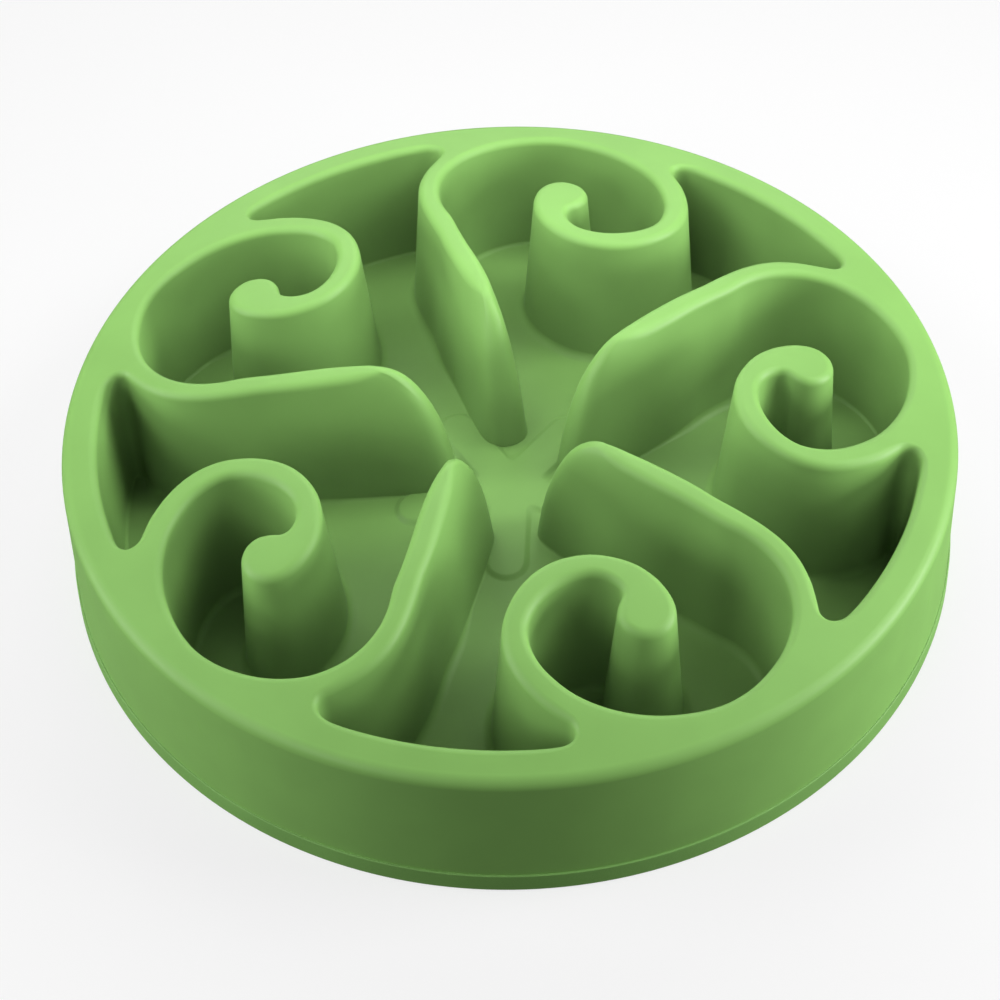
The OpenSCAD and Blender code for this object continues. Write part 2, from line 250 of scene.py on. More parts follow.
class Walls:
    """The walls of the wells: stations along their top edge, and a ring of points round all
    five sectors for each level of the walls."""

    def __init__(self, sizes):
        self.sizes = sizes
        self.radius = sizes.rim_radius - sizes.rim_band
        self.top = top_dome(sizes)
        self.floor = floor_dome(sizes)
        self._run_curve()
        self._place_stations()

    def _run_curve(self):
        """Draws a smooth curve through the guide points, and measures along it."""
        guide = self.radius * np.array(OUTLINE)
        looped = np.concatenate([
            turned(guide[-2:-1], SECTOR), guide, turned(guide[1:2], -SECTOR)])
        t = (np.arange(CURVE_STEPS) / CURVE_STEPS)[None, :, None]
        a, b, c, d = (looped[i:len(looped) - 3 + i][:, None, :] for i in range(4))
        spans = (b + t * (c - a) / 2 + t**2 * (2 * a - 5 * b + 4 * c - d) / 2
                 + t**3 * (3 * b - a - 3 * c + d) / 2)
        curve = np.concatenate([spans.reshape(-1, 2), guide[-1:]])
        run = np.concatenate([[0], np.cumsum(np.linalg.norm(np.diff(curve, axis=0), axis=1))])
        self.length = run[-1]
        self.own_run = run
        self.run = np.concatenate([run[:-1] - self.length, run[:-1], run + self.length])
        self.curve = np.concatenate([
            turned(curve[:-1], SECTOR), curve[:-1], turned(curve, -SECTOR)])

    def spot(self, s):
        """The points at distances along the top edge."""
        return np.stack([np.interp(s, self.run, self.curve[:, k]) for k in (0, 1)], -1)

    def across(self, s, window):
        """The way from the edge to the low ground, averaged over a stretch."""
        chord = self.spot(s + window) - self.spot(s - window)
        return np.stack([chord[:, 1], -chord[:, 0]], -1) / (2 * window)

    def _place_stations(self):
        """Sets the stations along the edge, each with its way out and its roundings."""
        sizes = self.sizes
        s = self.own_run[:-1:STATION_STEPS]
        tip_point = len(BEFORE_NOSE) + len(NOSE) // 2
        tip = self.own_run[tip_point * CURVE_STEPS]
        away = np.abs(s - tip)
        depth = self.top.apex - self.floor.apex
        wide = HOLLOW_WINDOW * (math.tan(sizes.wall_lean) * depth + sizes.foot_spread)
        usual = np.where(away < NEAR_NOSE * self.radius, NEAR_WINDOW, FAR_WINDOW) * self.radius
        way = np.stack([self.across(s[i:i + 1], usual[i])[0] for i in range(len(s))])
        wide_way = self.across(s, wide)
        before, after = (self.spot(s) - self.spot(s - wide), self.spot(s + wide) - self.spot(s))
        turn = (after[:, 0] * before[:, 1] - after[:, 1] * before[:, 0]) / wide**2
        hollow = smooth_step(*HOLLOW_TURN, turn)
        outward = way + hollow[:, None] * (wide_way - way)
        calm = smooth_step(*CALM_FROM_TO, away / self.radius)[:, None]
        outward = outward + calm * (self._softened(outward, s) - outward)
        weight = np.clip(
            1 - (away - NOSE_FRONT * self.radius) / (NOSE_FADE * self.radius), 0, 1)
        self.s = s
        self.edge = self.spot(s)
        self.outward = outward
        self.nose = smooth_step(0, 1, weight)
        self.flank = 1 - smooth_step(NOSE_FRONT, FLANK_END, away / self.radius)
        self.softness = 1 - smooth_step(*SOFT_NOSE, away / self.radius)
        self.reach_way = np.array(NOSE_WAY)
        share = np.linalg.norm(self.edge, axis=1) / self.radius
        self.spread = np.interp(share, SPREAD_AT, SPREAD)
        self.rounding = sizes.edge_round * (1 - NOSE_ROUND_LESS * self.nose)
        self.foot_round = sizes.foot_spread * self.spread * (1 - FLANK_FOOT_LESS * self.flank)
        self.tip = int(np.argmin(away))
        tip_radius = np.linalg.norm(self.edge[self.tip])
        self.reach = (tip_radius - sizes.middle_radius) / NOSE_AT_EDGE

    def _softened(self, values, s):
        """Values averaged along the run with a bell-shaped weight, round the sectors."""
        width = BELL_WIDTH * self.radius
        whole = np.concatenate([turned(values, SECTOR), values, turned(values, -SECTOR)])
        runs = np.concatenate([s - self.length, s, s + self.length])
        share = np.gradient(runs)
        bell = np.exp(-np.square((s[:, None] - runs[None, :]) / width) / 2) * share
        return (bell @ whole) / bell.sum(1, keepdims=True)

    def nose_profile(self, h):
        """How much of its slope a nose has done at a share of the height."""
        h = np.clip(h, 0, 1)
        rounded = 1 - (1 - h**NOSE_POWER) ** (1 / NOSE_POWER)
        return NOSE_STRAIGHT * h + (1 - NOSE_STRAIGHT) * rounded

    def nose_shift(self, h):
        """How far a nose stands out past its guide points at a share of the height."""
        return self.reach * (NOSE_AT_EDGE - self.nose_profile(h))

    def ring(self, edge_angle=90, down=0.0, foot_angle=0, inset=0.0, stations=None):
        """Points at one level: edge_angle goes round the top edge, down is the share of the
        straight wall above, and foot_angle goes round the fillet into the floor. The guide
        points lie where the rounded top edge slopes at 45 degrees."""
        pick = slice(None) if stations is None else stations
        edge, outward = self.edge[pick], self.outward[pick]
        nose, spread = self.nose[pick], self.spread[pick]
        rounding = self.rounding[pick]
        foot = self.foot_round[pick] if inset == 0 else np.zeros(len(edge))
        edge_turn, foot_turn = math.radians(edge_angle), math.radians(foot_angle)
        radius = np.linalg.norm(edge, axis=1)
        lean = math.tan(self.sizes.wall_lean)

        def height(r):
            straight = self.top.at(r) - self.floor.at(r) - rounding - foot
            return (self.top.at(r) - rounding * (1 - math.cos(edge_turn)) - down * straight
                    - foot * math.sin(foot_turn))

        straight = self.top.at(radius) - self.floor.at(radius) - rounding - foot
        h = (height(radius) - self.floor.at(radius)) / (
            self.top.at(radius) - self.floor.at(radius))
        out = (rounding * (math.sin(edge_turn) - math.sqrt(0.5)) - inset
               + spread * lean * (down * straight + foot * math.sin(foot_turn))
               + self.sizes.nose_swell * self.flank[pick] * (1 - np.clip(h, 0, 1)**SWELL_POWER)
               + foot * (1 - math.cos(foot_turn)))
        flat = (edge + out[:, None] * outward
                + (nose * (self.nose_shift(h) - out))[:, None] * self.reach_way)
        if stations is None and down > 0:
            soft = self.softness * smooth_step(0, SOFT_TOP, down)
            rounded = flat + soft[:, None] * (self._softened(flat, self.s) - flat)
            flat = rounded + nose[:, None] * (flat[self.tip] - rounded[self.tip])
        return flat, height(np.linalg.norm(flat, axis=1))

    def round_all(self, flat, z):
        """A sector's ring repeated in all the sectors, clockwise."""
        loops = [turned(flat, -k * SECTOR) for k in range(SWIRLS)]
        return np.concatenate(
            [np.concatenate([p, z[:, None]], 1) for p in loops])

    def outer_ring(self, **level):
        """One level of the walls round all the sectors."""
        return self.round_all(*self.ring(**level))

    def hollow_ring(self, down):
        """The same wall a thickness further in, which ends in a point behind each nose."""
        wall = self.sizes.wall
        picked = np.arange(0, len(self.s), HOLLOW_STEP)
        picked = picked[self.nose[picked] == 0]
        before, after = picked[picked < self.tip], picked[picked > self.tip]
        left, left_z = self.ring(down=down, inset=wall, stations=before)
        right, right_z = self.ring(down=down, inset=wall, stations=after)
        root = (left[-1] + right[0]) / 2
        way_to_tip = self.edge[self.tip] - (self.edge[before[-1]] + self.edge[after[0]]) / 2
        room = float(way_to_tip @ self.reach_way) + self.nose_shift(1 - down)
        point = root + self.reach_way * max(wall / 2, room - 2 * wall)
        rise = self.top.at(np.linalg.norm(point)) - self.top.at(np.linalg.norm(left[-1]))
        point_z = left_z[-1] + rise * (1 - down)
        return self.round_all(
            np.concatenate([left, point[None], right]),
            np.concatenate([left_z, [point_z], right_z]))


# Mesh helpers


def new_mesh():
    """An empty bmesh with a face layer that marks the skin being filled."""
    mesh = bmesh.new()
    mesh.faces.layers.int.new("skin")
    return mesh


def ring_of(mesh, points):
    """A closed loop of vertices through the points."""
    made = bmesh.ops.create_circle(mesh, segments=len(points), radius=1)["verts"]
    loop = [made[0]]
    seen = {made[0]}
    while len(loop) < len(made):
        step = next(
            e.other_vert(loop[-1]) for e in loop[-1].link_edges
            if e.other_vert(loop[-1]) not in seen)
        loop.append(step)
        seen.add(step)
    return placed(loop, points)


def placed(loop, points):
    """Puts a loop's vertices on the points."""
    for vert, point in zip(loop, points):
        vert.co = Vector(map(float, point))
    return loop


def edges_of(mesh, loop):
    """The edges of a closed loop of vertices."""
    return [mesh.edges.get((a, b)) for a, b in zip(loop, loop[1:] + loop[:1])]


def drawn_on(mesh, loop, points):
    """Extrudes a loop once and puts the new one on the points."""
    made = bmesh.ops.extrude_edge_only(mesh, edges=edges_of(mesh, loop))["geom"]
    fresh = {v for v in made if isinstance(v, bmesh.types.BMVert)}
    step = [
        next(e.other_vert(v) for e in v.link_edges if e.other_vert(v) in fresh) for v in loop]
    return placed(step, points)


def circle_points(radius, z):
    """The rim's points at another radius and height."""
    a = np.arange(RIM_SEGMENTS) * 2 * math.pi / RIM_SEGMENTS
    return np.stack([radius * np.cos(a), radius * np.sin(a), np.full(RIM_SEGMENTS, z)], -1)


def fill_between(mesh, skin, *loops):
    """Fills the ground that loops enclose, and marks its faces as one skin."""
    bounds = [e for loop in loops for e in edges_of(mesh, loop)]
    filled = bmesh.ops.triangle_fill(
        mesh, use_beauty=True, edges=bounds, normal=(0, 0, 1))["geom"]
    mark = mesh.faces.layers.int["skin"]
    for face in filled:
        if isinstance(face, bmesh.types.BMFace):
            face[mark] = skin


def lay_on(mesh, skin, cap, longest, divisions=5, smoothings=4):
    """Cuts a skin's edges down to a length, evens them out and lays them on a dome."""
    mark = mesh.faces.layers.int["skin"]

    def its_faces():
        return [f for f in mesh.faces if f[mark] == skin]

    def inner_edges(faces):
        return [
            e for e in dict.fromkeys(e for f in faces for e in f.edges)
            if all(f[mark] == skin for f in e.link_faces)]

    for _ in range(divisions):
        long_edges = [e for e in inner_edges(its_faces()) if e.calc_length() > longest]
        if not long_edges:
            break
        bmesh.ops.subdivide_edges(mesh, edges=long_edges, cuts=1)
        bmesh.ops.triangulate(
            mesh, faces=its_faces(), quad_method="BEAUTY", ngon_method="BEAUTY")
        faces = its_faces()
        bmesh.ops.beautify_fill(mesh, faces=faces, edges=inner_edges(faces), method="AREA")
    loose = [
        v for v in dict.fromkeys(v for f in its_faces() for v in f.verts)
        if all(f[mark] == skin for f in v.link_faces)]
    for _ in range(smoothings):
        bmesh.ops.smooth_vert(
            mesh, verts=loose, factor=0.5, use_axis_x=True, use_axis_y=True, use_axis_z=False)
    for v in loose:
        v.co.z = float(cap.at(math.hypot(v.co.x, v.co.y)))


def finished(mesh, name, sharp_degrees=50):
    """Turns a bmesh into an object with outward faces, smooth shading and crisp corners."""
    bmesh.ops.recalc_face_normals(mesh, faces=mesh.faces)
    for face in mesh.faces:
        face.smooth = True
    limit = math.radians(sharp_degrees)
    for edge in mesh.edges:
        edge.smooth = edge.calc_face_angle(0) < limit
    data = bpy.data.meshes.new(name)
    mesh.to_mesh(data)
    mesh.free()
    piece = bpy.data.objects.new(name, data)
    bpy.context.scene.collection.objects.link(piece)
    weighted = piece.modifiers.new("Even shading", "WEIGHTED_NORMAL")
    weighted.keep_sharp = True
    weighted.weight = 60
    return piece


# Materials


class Signal:
    """A node socket that takes part in plain sums with others and with numbers."""

    def __init__(self, tree, socket):
        self.tree, self.socket = tree, socket

    def _sum(self, operation, first, second, clamp=False):
        node = self.tree.nodes.new("ShaderNodeMath")
        node.operation, node.use_clamp = operation, clamp
        for slot, value in zip(node.inputs, (first, second)):
            if isinstance(value, Signal):
                self.tree.links.new(value.socket, slot)
            else:
                slot.default_value = value
        return Signal(self.tree, node.outputs[0])

    def __add__(self, other):
        return self._sum("ADD", self, other)

    def __sub__(self, other):
        return self._sum("SUBTRACT", self, other)

    def __rsub__(self, other):
        return self._sum("SUBTRACT", other, self)

    def __mul__(self, other):
        return self._sum("MULTIPLY", self, other)

    __radd__, __rmul__ = __add__, __mul__

    def held(self):
        """The same value kept between 0 and 1."""
        return self._sum("ADD", self, 0.0, clamp=True)


class Finish:
    """The nodes of a material or of the world, under construction."""

    def __init__(self, owner):
        self.owner = owner
        owner.use_nodes = True
        self.tree = owner.node_tree
        self.tree.nodes.clear()

    def node(self, kind, settings=None, output=0, by_place=None, **by_name):
        """Adds a node, sets it, feeds its sockets, and gives one of its outputs."""
        node = self.tree.nodes.new("ShaderNode" + kind)
        for key, value in (settings or {}).items():
            setattr(node, key, value)
        fed = [(node.inputs[index], value) for index, value in (by_place or {}).items()]
        fed += [(self._socket(node, key), value) for key, value in by_name.items()]
        for socket, value in fed:
            if isinstance(value, Signal):
                self.tree.links.new(value.socket, socket)
            else:
                socket.default_value = value
        return Signal(self.tree, node.outputs[output]) if node.outputs else None

    @staticmethod
    def _socket(node, key):
        name = key.replace("_", " ").lower()
        return next(s for s in node.inputs if s.enabled and s.name.lower() == name)

    def place(self):
        """The place on the piece, in metres."""
        return self.node("TexCoord", output=3)

    def noise(self, place, scale, detail=2.0, roughness=0.5):
        """Cloudy noise from about 0.3 to 0.7, with so many clouds to the metre."""
        return self.node(
            "TexNoise", {"noise_dimensions": "3D"}, Vector=place, Scale=scale, Detail=detail,
            Roughness=roughness)

    def band(self, value, low, high, to_low=0.0, to_high=1.0):
        """The value moved from one range to another, with soft ends."""
        return self.node(
            "MapRange", {"interpolation_type": "SMOOTHSTEP"}, Value=value, From_Min=low,
            From_Max=high, To_Min=to_low, To_Max=to_high)

    def tint(self, factor, first, second):
        """A colour between two colours."""
        return self.node(
            "Mix", {"data_type": "RGBA"}, output=2, by_place={0: factor, 6: first, 7: second})

    def ray(self, output):
        """1 for the rays of one kind: 0 the camera's, 2 diffuse, 3 glossy, 6 transmitted."""
        return self.node("LightPath", output=output)

    def between(self, factor, first, second):
        """A shader between two shaders."""
        return self.node("MixShader", by_place={0: factor, 1: first, 2: second})

    def close(self, shader, kind="Material"):
        """Ends in a shader, and gives the material or world."""
        self.node("Output" + kind, Surface=shader)
        return self.owner


# What the green gives on to the surfaces around it: as in the photograph, the shaded walls
# keep the hue of the lit ones.
BOUNCE = (0.31, 0.31, 0.31, 1.0)


def shade(base, factor):
    """A colour made lighter or darker, as a socket takes it."""
    return tuple(min(1.0, c * factor) for c in base) + (1.0,)


def satin_plastic(finishes, name="satin_green_plastic"):
    """Moulded polypropylene: a satin skin with faint flow marks, fine pores and a few rubbed
    hairlines, and a painted highlight that makes the rounded edges a little lighter."""
    finish = Finish(bpy.data.materials.new(name))
    place = finish.place()
    base = tuple(finishes.plastic)
    flow = finish.noise(place, scale=14, detail=3, roughness=0.55)
    cloud = finish.noise(place, scale=55)
    grain = finish.noise(place, scale=2400, roughness=0.6)
    ripple = finish.noise(place, scale=90, detail=1)
    stretched = finish.node(
        "Mapping", Vector=place, Rotation=(0.0, 0.0, 0.6), Scale=(40.0, 900.0, 40.0))
    crossed = finish.node(
        "Mapping", Vector=place, Rotation=(0.0, 0.0, -0.9), Scale=(700.0, 30.0, 30.0))
    hairs = finish.band(finish.noise(stretched, scale=1), 0.66, 0.74)
    rubbed = finish.band(finish.noise(crossed, scale=1), 0.68, 0.76)
    wear = (hairs + rubbed).held() * finish.band(cloud, 0.45, 0.62)
    # edge: each point's share of the painted highlight on the rounded edges, read from the
    # mesh's edge attribute
    edge = finish.node("Attribute", {"attribute_name": "edge"}, output=2)
    mix = finish.band(flow, 0.3, 0.7, 0.0, 0.55) + finish.band(cloud, 0.3, 0.7, 0.0, 0.45)
    body = finish.tint(mix, shade(base, 0.955), shade(base, 1.04))
    # Painted highlight: the rounded edges are made lighter in colour; the rubbed hairlines are
    # lighter as real wear
    body = finish.tint((edge * 0.3 + wear * 0.12).held(), body, shade(base, 1.16))
    body = finish.tint(finish.ray(2), body, BOUNCE)
    gloss = (finishes.plastic_gloss + finish.band(flow, 0.35, 0.65, -0.03, 0.03)
             + finish.band(grain, 0.3, 0.7, -0.025, 0.025) + wear * 0.12)
    height = grain * 0.06 + ripple * 1.6 - wear * 0.2
    bump = finish.node("Bump", Strength=0.14, Distance=0.00025, Height=height)
    shader = finish.node(
        "BsdfPrincipled", Base_Color=body, Roughness=gloss, Normal=bump, IOR=1.49,
        Specular_IOR_Level=0.38)
    return finish.close(shader)


def soft_rubber(finishes):
    """Matt thermoplastic rubber with a fine eroded skin."""
    finish = Finish(bpy.data.materials.new("matt_green_rubber"))
    place = finish.place()
    base = tuple(finishes.rubber)
    speckle = finish.noise(place, scale=1800, roughness=0.6)
    cloud = finish.noise(place, scale=30)
    body = finish.tint(finish.band(cloud, 0.3, 0.7), shade(base, 0.93), shade(base, 1.04))
    body = finish.tint(finish.band(speckle, 0.55, 0.75, 0.0, 0.2), body, shade(base, 0.8))
    rough = 0.58 + finish.band(speckle, 0.3, 0.7, -0.06, 0.06)
    bump = finish.node("Bump", Strength=0.3, Distance=0.0002, Height=speckle)
    shader = finish.node(
        "BsdfPrincipled", Base_Color=body, Roughness=rough, Normal=bump, IOR=1.5)
    return finish.close(shader)


# The pieces

# The levels of the walls, from the deck to the floor: degrees round the top edge, shares of
# the straight wall, and degrees round the fillet
EDGE_ANGLES = (0, 15, 30, 45, 60, 75, 90)
WALL_DOWNS = (0.006, 0.02, 0.05, 0.09, 0.14, 0.2, 0.28, 0.38, 0.5, 0.64, 0.8, 1)
FOOT_ANGLES = (18, 36, 54, 72, 90)
# The same for the hollow behind them, for the rim's rounding and for the skirt
HOLLOW_DOWNS = (0.15, 0.3, 0.5, 0.75, 1)
RIM_ANGLES = (80, 70, 60, 50, 40, 30, 20, 10, 0)
SKIRT_DOWNS = (0.25, 0.5, 0.75, 0.97, 1)


def wall_levels():
    """Each level of the walls as the arguments of Walls.ring, with its share of the painted
    highlight on the rounded edge.
    """
    for angle in EDGE_ANGLES:
        yield {"edge_angle": angle}, math.sin(math.radians(angle * 2))
    for down in WALL_DOWNS:
        yield {"down": down}, 0.0
    for angle in FOOT_ANGLES:
        yield {"down": 1, "foot_angle": angle}, 0.0


def skirt_levels(sizes, ring, top, seam):
    """Radius, height and share of the painted edge highlight of each circle, from the deck's
    edge round the rim, down the skirt, round its foot in the base ring, and up inside to the
    deck."""
    middle = sizes.rim_radius - sizes.rim_round
    middle_z = float(top.at(middle)) - sizes.rim_round
    for angle in RIM_ANGLES:
        a = math.radians(angle)
        yield (middle + sizes.rim_round * math.cos(a),
               middle_z + sizes.rim_round * math.sin(a), math.sin(2 * a))
    for share in SKIRT_DOWNS:
        z = middle_z + share * (ring.height - middle_z)
        yield skirt_radius(sizes, z), z, 0.0
    foot, behind = skirt_radius(sizes, ring.sole), ring.lip - ring.proud
    yield skirt_radius(sizes, ring.height) - behind, ring.height, 0.0
    yield foot - behind, ring.sole, 0.0
    yield foot - sizes.wall, ring.sole, 0.0
    inner_top = sizes.rim_height - 2 * sizes.wall
    for z in ((ring.sole + inner_top) / 2, inner_top):
        yield skirt_radius(sizes, z) - sizes.wall, z, 0.0
    for radius in (sizes.rim_radius - 2 * sizes.wall, seam):
        yield radius, float(top.at(radius)) - sizes.wall, 0.0


def bowl_moulding(sizes, ring, finishes):
    """The whole moulding as one closed skin: deck, walls, floor, skirt and underside."""
    walls = Walls(sizes)
    mesh = new_mesh()
    # Each vertex's share of the painted highlight, strongest half way round the rounded edges
    edge_highlight_tag = mesh.verts.layers.float.new("edge")
    levels = list(wall_levels())
    foot = deck_edge = ring_of(mesh, walls.outer_ring(**levels[0][0]))
    for level, share in levels[1:]:
        foot = drawn_on(mesh, foot, walls.outer_ring(**level))
        for v in foot:
            v[edge_highlight_tag] = share

    deck_radius = sizes.rim_radius - sizes.rim_round
    under_rim = rim_edge = ring_of(
        mesh, circle_points(deck_radius, float(walls.top.at(deck_radius))))
    seam = sizes.rim_radius - sizes.rim_band / 2
    for radius, z, share in skirt_levels(sizes, ring, walls.top, seam):
        under_rim = drawn_on(mesh, under_rim, circle_points(radius, z))
        for v in under_rim:
            v[edge_highlight_tag] = share

    hollow = under_edge = ring_of(mesh, walls.hollow_ring(0))
    for down in HOLLOW_DOWNS:
        hollow = drawn_on(mesh, hollow, walls.hollow_ring(down))
    under_top, under_floor = walls.top.deeper(sizes.wall), walls.floor.deeper(sizes.wall)
    for loop, cap in ((under_edge, under_top), (hollow, under_floor)):
        for v in loop:
            v.co.z = float(cap.at(math.hypot(v.co.x, v.co.y)))

    skins = (
        (walls.floor, 7 * MM, [foot]),
        (walls.top, 6 * MM, [deck_edge, rim_edge]),
        (under_floor, 12 * MM, [hollow]),
        (under_top, 12 * MM, [under_edge, under_rim]))
    for number, (_, _, loops) in enumerate(skins, 1):
        fill_between(mesh, number, *loops)
    for number, (cap, longest, _) in enumerate(skins, 1):
        lay_on(mesh, number, cap, longest)
    piece = finished(mesh, "bowl_moulding")
    piece.data.materials.append(satin_plastic(finishes))
    return piece


class FEEDER_OT_bowl(bpy.types.Operator):
    """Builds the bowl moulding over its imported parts"""

    bl_idname = "feeder.bowl"
    bl_label = "Bowl moulding"

    def execute(self, context):
        scene = context.scene
        piece = bowl_moulding(scene.feeder_bowl, scene.feeder_ring, scene.feeder_finishes)
        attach(piece, "root")
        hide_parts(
            "outer_wall", "swirl_1", "swirl_2", "swirl_3", "swirl_4", "swirl_5",
            "feeding_floor")
        return {"FINISHED"}


STAR_TURN = 50              # degrees, of the first arm
STAR_NOTCH = 3.2 * MM       # how far from the inner corners their softening starts
STAR_ROOT = 0.4 * MM        # how far the star goes down into the floor
STAR_LEVELS = 10            # levels of its soft edge


def star_outline(half_width, tip_middle, tip_steps=14, notch_steps=4):
    """A star with round ends and softened inner corners, as one loop of points."""
    points = []
    half_sector = math.radians(SECTOR / 2)
    for k in range(SWIRLS):
        turn = math.radians(STAR_TURN - k * SECTOR)
        own = []
        for i in range(tip_steps + 1):
            a = math.pi / 2 - math.pi * i / tip_steps
            own.append((tip_middle + half_width * math.cos(a), half_width * math.sin(a)))
        notch = half_width / math.sin(half_sector)
        corner = np.array([notch * math.cos(half_sector), -notch * math.sin(half_sector)])
        along = np.array([1.0, 0.0])
        onward = np.array([math.cos(2 * half_sector), -math.sin(2 * half_sector)])
        for i in range(notch_steps + 1):
            t = i / notch_steps
            first, last = corner + STAR_NOTCH * along, corner + STAR_NOTCH * onward
            own.append(tuple((1 - t)**2 * first + 2 * t * (1 - t) * corner + t * t * last))
        for x, y in own:
            points.append((
                x * math.cos(turn) - y * math.sin(turn),
                x * math.sin(turn) + y * math.cos(turn)))
    return np.array(points)


class FEEDER_OT_star(bpy.types.Operator):
    """Builds the plain raised star on the floor"""

    bl_idname = "feeder.star"
    bl_label = "Raised star"

    def execute(self, context):
        scene = context.scene
        star, sizes = scene.feeder_star, scene.feeder_bowl
        floor = floor_dome(sizes)
        mesh = new_mesh()
        half = star.arm / 2

        def level(grow, rise):
            flat = star_outline(half + grow, star.reach - half)
            z = floor.at(np.linalg.norm(flat, axis=1)) + rise
            return np.concatenate([flat, z[:, None]], 1)

        bottom = loop = ring_of(mesh, level(star.soft_edge / 2, -STAR_ROOT))
        for step in range(STAR_LEVELS + 1):
            share = step / STAR_LEVELS
            loop = drawn_on(mesh, loop, level(
                star.soft_edge * (0.5 - share), star.rise * smooth_step(0, 1, share)))
        fill_between(mesh, 1, loop)
        fill_between(mesh, 2, bottom)
        lay_on(mesh, 1, floor.deeper(-star.rise), longest=4 * MM)
        lay_on(mesh, 2, floor.deeper(STAR_ROOT), longest=8 * MM)
        piece = finished(mesh, "floor_star_relief")
        piece.data.materials.append(satin_plastic(scene.feeder_finishes, "satin_green_star"))
        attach(piece, "root")
        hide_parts("floor_star")
        return {"FINISHED"}


FOOT_TRIM = 0.03 * MM       # keeps the ring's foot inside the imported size
LIP_SEGMENTS = 4            # of the roundings of its lips
MERGE = 0.001 * MM          # joins the spin's first and last points


class FEEDER_OT_ring(bpy.types.Operator):
    """Builds the soft base ring that the bowl stands on"""

    bl_idname = "feeder.ring"
    bl_label = "Base ring"

    def execute(self, context):
        scene = context.scene
        sizes, ring = scene.feeder_bowl, scene.feeder_ring
        table, sole, inner_lip, lip = (
            skirt_radius(sizes, z) for z in (0, ring.sole, ring.inner_height, ring.height))
        inner, behind = sole - sizes.wall - ring.lip, ring.lip - ring.proud
        section = [
            (inner, 0), (table + ring.proud - FOOT_TRIM, 0), (lip + ring.proud, ring.height),
            (lip - behind, ring.height), (sole - behind, ring.sole),
            (sole - sizes.wall, ring.sole), (inner_lip - sizes.wall, ring.inner_height),
            (inner, ring.inner_height)]
        mesh = bmesh.new()
        verts = [mesh.verts.new((r, 0, z)) for r, z in section]
        for pair in zip(verts, verts[1:] + verts[:1]):
            mesh.edges.new(pair)
        bmesh.ops.bevel(
            mesh, geom=verts[:3] + verts[-1:], offset=ring.soft_edge, segments=LIP_SEGMENTS,
            profile=0.5, affect="VERTICES", material=-1)
        bmesh.ops.spin(
            mesh, geom=mesh.verts[:] + mesh.edges[:], cent=(0, 0, 0), axis=(0, 0, 1),
            angle=2 * math.pi, steps=RIM_SEGMENTS, use_merge=True)
        bmesh.ops.remove_doubles(mesh, verts=mesh.verts, dist=MERGE)
        piece = finished(mesh, "base_ring")
        piece.data.materials.append(soft_rubber(scene.feeder_finishes))
        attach(piece, "root")
        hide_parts("non_slip_ring")
        return {"FINISHED"}


# The stage

VIEW_LENS, VIEW_SENSOR = 76.66, 36      # millimetres
VIEW_RISE = 49.182                      # degrees above the table
VIEW_ROLL = 2.0243                      # degrees
VIEW_DISTANCE = 5.0429                  # in rim radii
VIEW_SLIDE = (-0.0251, 0.0273)          # to the right and up, in rim radii

# The floor, in metres. Near the bowl the camera sees it as a mix of plain white and the
# light that falls on it, so that the shadow shows, and further away as plain white.
FLOOR_RADIUS, FLOOR_DROP = 6, 0.2 * MM
SHADOW_NEAR, SHADOW_GONE = 0.25, 0.9
NEAR_WHITE = 0.74
THROWN_BACK = (0.03, 0.03, 0.03, 1.0)   # what the floor gives on to the bowl
WHITE = (1.0, 1.0, 1.0, 1.0)
WORLD_LIGHT = 0.03
FLOOR_MIRRORED, WORLD_MIRRORED = 0.1, 0.2

# Each softbox: its name, its place and what it faces in metres, its size, and its watts
MIDDLE = (0, 0, 0.03)
LAMPS = (
    ("overhead", (0, 0.03, 0.16), (0, 0.03, 0), (0.1, 0.1), 0.05),
    ("overhead_left", (-0.12, 0.12, 0.25), (-0.12, 0.12, 0), (0.15, 0.15), 0.185),
    ("overhead_right", (0.12, 0.12, 0.25), (0.12, 0.12, 0), (0.15, 0.15), 0.205),
    ("back", (0, 0.6, 0.3), MIDDLE, (0.6, 0.3), 0.77),
    ("left", (-0.7, 0, 0.7), MIDDLE, (0.4, 0.4), 1.7),
    ("right", (0.7, 0, 0.7), MIDDLE, (0.4, 0.4), 2.65),
    ("left_low", (-0.6, -0.1, 0.15), MIDDLE, (0.3, 0.2), 1.25),
    ("right_low", (0.6, -0.1, 0.15), MIDDLE, (0.3, 0.2), 2.4),
    ("front_left", (-0.9, -0.9, 0.7), MIDDLE, (0.6, 0.6), 3.8),
    ("front_right", (0.9, -0.9, 0.7), MIDDLE, (0.6, 0.6), 1.3),
)


def softbox(name, place, aim, size, power):
    """A lamp that the camera doesn't see, and the plastic doesn't mirror where it is near."""
    lamp = bpy.data.lights.new(name, "AREA")
    lamp.shape, lamp.size, lamp.size_y = "RECTANGLE", size[0], size[1]
    lamp.energy = power
    held = bpy.data.objects.new(name, lamp)
    bpy.context.scene.collection.objects.link(held)
    held.location = Vector(place)
    held.rotation_euler = (Vector(aim) - Vector(place)).to_track_quat("-Z", "Y").to_euler()
    held.visible_camera = False
    held.visible_glossy = not name.startswith("overhead")


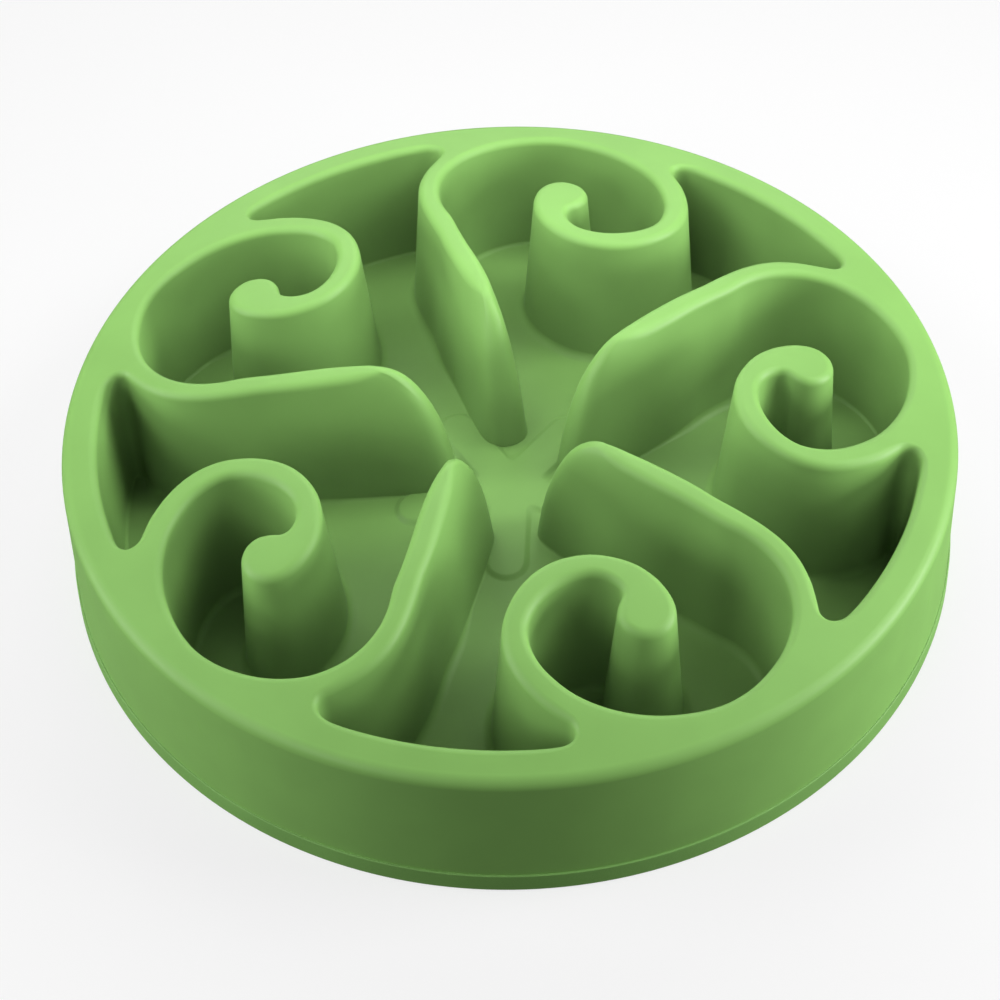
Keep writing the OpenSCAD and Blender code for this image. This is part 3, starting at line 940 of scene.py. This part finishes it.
def stage_floor(finishes):
    """A wide pale floor, which the camera sees as white but for the bowl's soft shadow."""
    mesh = bmesh.new()
    bmesh.ops.create_circle(mesh, cap_ends=True, segments=96, radius=FLOOR_RADIUS)
    for v in mesh.verts:
        v.co.z = -FLOOR_DROP
    data = bpy.data.meshes.new("stage_floor")
    mesh.to_mesh(data)
    mesh.free()
    floor = bpy.data.objects.new("stage_floor", data)
    bpy.context.scene.collection.objects.link(floor)
    finish = Finish(bpy.data.materials.new("pale_floor"))
    seen, mirrored, through = (finish.ray(kind) for kind in (0, 3, 6))
    away = finish.node("VectorMath", {"operation": "LENGTH"}, output=1, Vector=finish.place())
    clear = finish.band(away, SHADOW_NEAR, SHADOW_GONE, NEAR_WHITE, 1.0)
    cast = finish.tint(seen, THROWN_BACK, shade(finishes.stage_floor, 1))
    lit = finish.node("BsdfDiffuse", Color=cast)
    white = finish.node("Emission", Color=WHITE, Strength=1.0)
    shown = (seen * clear + mirrored * FLOOR_MIRRORED + through * clear).held()
    data.materials.append(finish.close(finish.between(shown, lit, white)))


def plain_world():
    """A dim even light, which the camera and what lets it through see as white."""
    world = bpy.data.worlds.new("studio")
    bpy.context.scene.world = world
    finish = Finish(world)
    seen, mirrored, through = (finish.ray(kind) for kind in (0, 3, 6))
    dim = finish.node("Background", Color=WHITE, Strength=WORLD_LIGHT)
    white = finish.node("Background", Color=WHITE, Strength=1.0)
    shown = (seen + mirrored * WORLD_MIRRORED + through).held()
    finish.close(finish.between(shown, dim, white), "World")


def view_camera(rim_radius):
    """The camera at the photograph's angle, distance and lens."""
    rise, roll = math.radians(VIEW_RISE), math.radians(VIEW_ROLL)
    forward = Vector((0, math.cos(rise), -math.sin(rise)))
    right = Vector((1, 0, 0))
    up = Vector((0, math.sin(rise), math.cos(rise)))
    x_axis = math.cos(roll) * right - math.sin(roll) * up
    y_axis = math.sin(roll) * right + math.cos(roll) * up
    place = rim_radius * (
        -forward * VIEW_DISTANCE + right * VIEW_SLIDE[0] + up * VIEW_SLIDE[1])
    lens = bpy.data.cameras.new("view")
    lens.lens, lens.sensor_width, lens.sensor_fit = VIEW_LENS, VIEW_SENSOR, "HORIZONTAL"
    lens.clip_start, lens.clip_end = 0.01, 50
    camera = bpy.data.objects.new("view", lens)
    bpy.context.scene.collection.objects.link(camera)
    turn = Matrix((x_axis, y_axis, -forward)).transposed()
    camera.matrix_world = Matrix.Translation(place) @ turn.to_4x4()
    bpy.context.scene.camera = camera


class FEEDER_OT_stage(bpy.types.Operator):
    """Builds the pale floor, the studio lamps, the world and the camera"""

    bl_idname = "feeder.stage"
    bl_label = "Stage"

    def execute(self, context):
        scene = context.scene
        stage_floor(scene.feeder_finishes)
        plain_world()
        for name, place, aim, size, power in LAMPS:
            softbox(name, place, aim, size, power)
        view_camera(scene.feeder_bowl.rim_radius)
        scene.view_settings.view_transform = "Standard"
        return {"FINISHED"}


class FEEDER_PT_panel(bpy.types.Panel):
    """Lists the sizes and the steps in the sidebar"""

    bl_idname = "FEEDER_PT_panel"
    bl_label = "Slow feeder bowl"
    bl_space_type = "VIEW_3D"
    bl_region_type = "UI"
    bl_category = "Feeder bowl"

    def draw(self, context):
        for group in GROUPS:
            box = self.layout.box()
            held = getattr(context.scene, group)
            for name in held.bl_rna.properties.keys():
                if name not in ("rna_type", "name"):
                    box.prop(held, name)
        for step in STEPS:
            self.layout.operator(step.bl_idname)


GROUPS = {
    "feeder_bowl": BowlSizes, "feeder_star": StarSizes, "feeder_ring": RingSizes,
    "feeder_finishes": Finishes}
STEPS = (FEEDER_OT_bowl, FEEDER_OT_star, FEEDER_OT_ring, FEEDER_OT_stage)


def register():
    for name, group in GROUPS.items():
        bpy.utils.register_class(group)
        setattr(bpy.types.Scene, name, PointerProperty(type=group))
    for cls in STEPS + (FEEDER_PT_panel,):
        bpy.utils.register_class(cls)


def unregister():
    for cls in reversed(STEPS + (FEEDER_PT_panel,)):
        bpy.utils.unregister_class(cls)
    for name, group in reversed(GROUPS.items()):
        delattr(bpy.types.Scene, name)
        bpy.utils.unregister_class(group)


def main():
    """Builds the pieces and the stage."""
    register()
    bpy.ops.feeder.bowl()
    bpy.ops.feeder.star()
    bpy.ops.feeder.ring()
    bpy.ops.feeder.stage()
    bpy.context.view_layer.update()


if __name__ == "__main__":
    main()
